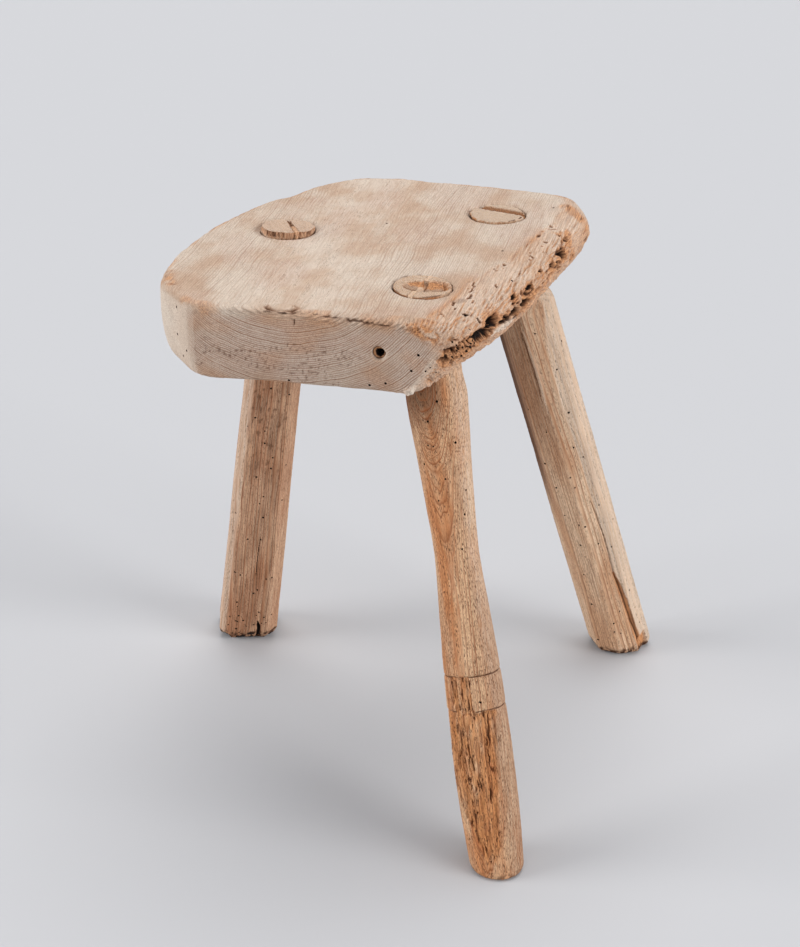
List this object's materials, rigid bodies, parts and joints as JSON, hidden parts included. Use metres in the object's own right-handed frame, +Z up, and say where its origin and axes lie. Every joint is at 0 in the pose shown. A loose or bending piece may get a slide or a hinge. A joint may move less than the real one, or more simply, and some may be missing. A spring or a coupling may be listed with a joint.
{
  "type": "three-legged stool",
  "caption": "Rustic low stool: a thick wooden slab seat with a natural edge on splayed, wedged legs, one of them a turned spindle.",
  "frame": {"origin": "on the floor, below the centre of the whole stool's box", "axes": "+Z up, +Y along the seat's grain away from its sawn front end, +X towards the seat's natural edge"},
  "size_m": [0.3588, 0.357, 0.3848],
  "materials": {
    "seat_wood": "bare, bleached and weathered",
    "leg_wood": "bare, warm brown, worn",
    "wedge_wood": "bare, torn",
    "peg_wood": "bare, decayed"
  },
  "bodies": {
    "root": {"seat": "seat_wood", "leg_front": "leg_wood", "leg_rear_left": "leg_wood", "leg_rear_right": "leg_wood", "wedge_front": "wedge_wood", "wedge_rear_left": "wedge_wood", "wedge_rear_right": "wedge_wood", "peg": "peg_wood"}
  },
  "joints": []
}
